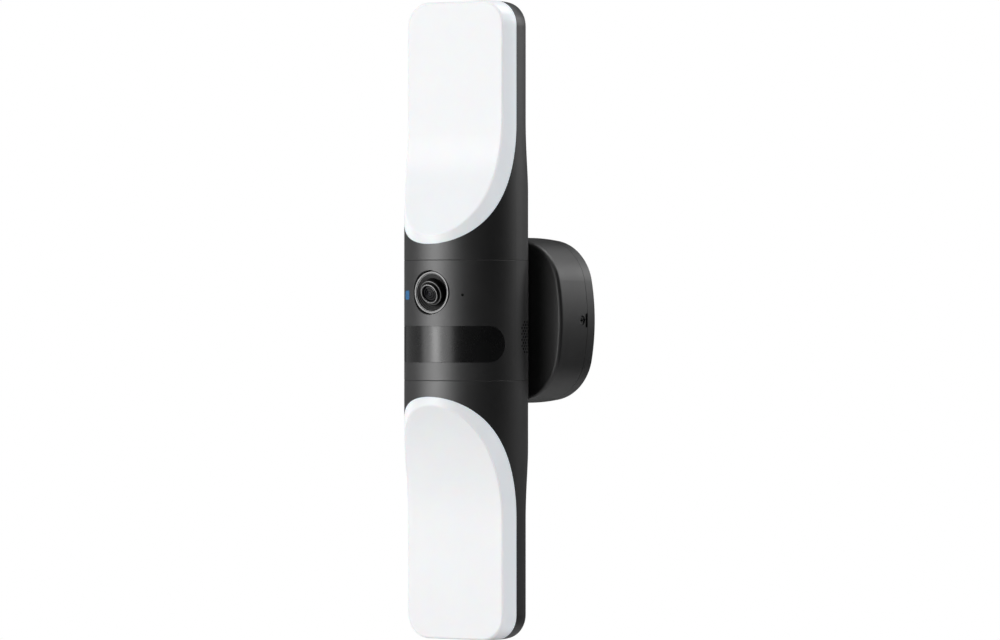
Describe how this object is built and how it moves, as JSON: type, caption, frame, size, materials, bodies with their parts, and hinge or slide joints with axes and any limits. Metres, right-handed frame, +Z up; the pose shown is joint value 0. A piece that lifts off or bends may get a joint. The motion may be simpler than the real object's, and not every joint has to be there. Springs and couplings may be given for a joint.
{
  "type": "wall light with security camera",
  "caption": "Tall round wall light with a milky lamp face above and below a tilted camera, a motion sensor window and a speaker, held on a squircle wall base.",
  "frame": {"origin": "centre of the wall face of the base, in the wall plane", "axes": "+Y into the wall, +Z up along the bar, the camera and lamps face -Y"},
  "size_m": [0.1, 0.1015, 0.38],
  "materials": {
    "housing_plastic": "satin charcoal moulded plastic with a very fine texture",
    "diffuser": "milky translucent moulded plastic, smooth",
    "smoked_window": "glossy smoked plastic",
    "bezel": "glossy dark ring",
    "lens_black": "anti-glare black",
    "lens_glass": "coated glass",
    "light_pipe": "blue status light window",
    "fresnel": "thin translucent polyethylene",
    "steel": "zinc plated",
    "brass": "bright",
    "aluminium": "rolled sheet",
    "circuit_board": "green solder mask",
    "light_board": "white solder mask on an aluminium core",
    "led": "phosphor package",
    "chip": "moulded package",
    "terminal_plastic": "natural nylon",
    "rubber": "soft black",
    "cable": "insulated leads",
    "magnet": "plated magnet and pot",
    "speaker_basket": "moulded",
    "paper": "treated cone",
    "mesh": "fine acoustic mesh"
  },
  "bodies": {
    "fixture": {"arm_screws": "steel", "base_cover": "housing_plastic", "base_harness": "cable", "board_chips": "chip", "button_switch": "circuit_board", "capacitors": "aluminium", "centre_housing": "housing_plastic", "driver_board": "circuit_board", "driver_screws": "steel", "filter_frame": "lens_black", "filter_motor": "chip", "fresnel_lens": "fresnel", "front_lens": "lens_glass", "ground_screw": "brass", "image_sensor": "chip", "inner_lenses": "lens_glass", "lamp_harnesses": "cable", "lens_barrel": "lens_black", "lens_bezel": "bezel", "lens_funnel": "lens_black", "lens_holder": "lens_black", "light_screws": "steel", "lower_diffuser": "diffuser", "lower_heat_spreader": "aluminium", "lower_housing": "housing_plastic", "lower_leds": "led", "lower_light_board": "light_board", "lower_seal": "rubber", "main_board": "circuit_board", "microphone": "chip", "microphone_boot": "rubber", "mounting_plate": "steel", "neck_screws": "steel", "neck_seal": "rubber", "pir_board": "circuit_board", "pir_sensor": "steel", "pir_window": "smoked_window", "rear_ring": "housing_plastic", "seam_seals": "rubber", "sensor_board": "circuit_board", "side_screws": "steel", "speaker_frame": "speaker_basket", "speaker_magnet": "magnet", "speaker_mesh": "mesh", "speaker_surround": "rubber", "status_light_pipe": "light_pipe", "terminal_block": "terminal_plastic", "transformer": "chip", "upper_diffuser": "diffuser", "upper_heat_spreader": "aluminium", "upper_housing": "housing_plastic", "upper_leds": "led", "upper_light_board": "light_board", "upper_seal": "rubber", "wall_gasket": "rubber"},
    "pairing_button": {"pair_button": "housing_plastic"},
    "filter_slider": {"filter_carriage": "lens_black", "filter_glass": "lens_glass"},
    "filter_rotor": {"filter_lever": "steel"},
    "speaker_diaphragm": {"speaker_cone": "paper"}
  },
  "joints": [
    {"name": "button_press", "type": "slide", "parent": "fixture", "child": "pairing_button", "axis": [0.9205, -0.3907, 0], "range_m": [0, 0.0008], "stiffness_N_per_m": 1200},
    {"name": "lever_turn", "type": "hinge", "parent": "fixture", "child": "filter_rotor", "pos_m": [0, -0.0808, 0.01037], "axis": [0, 0.9455, 0.3256], "range_deg": [0, 60]},
    {"name": "filter_slide", "type": "slide", "parent": "fixture", "child": "filter_slider", "axis": [1, 0, 0], "range_m": [0, 0.007]},
    {"name": "cone_travel", "type": "slide", "parent": "fixture", "child": "speaker_diaphragm", "axis": [0.9205, 0.3907, 0], "range_m": [-0.0004, 0.0004], "stiffness_N_per_m": 800}
  ],
  "couplings": [
    {"joint": "lever_turn", "follows": "filter_slide", "rad_per_m": 149.59}
  ]
}
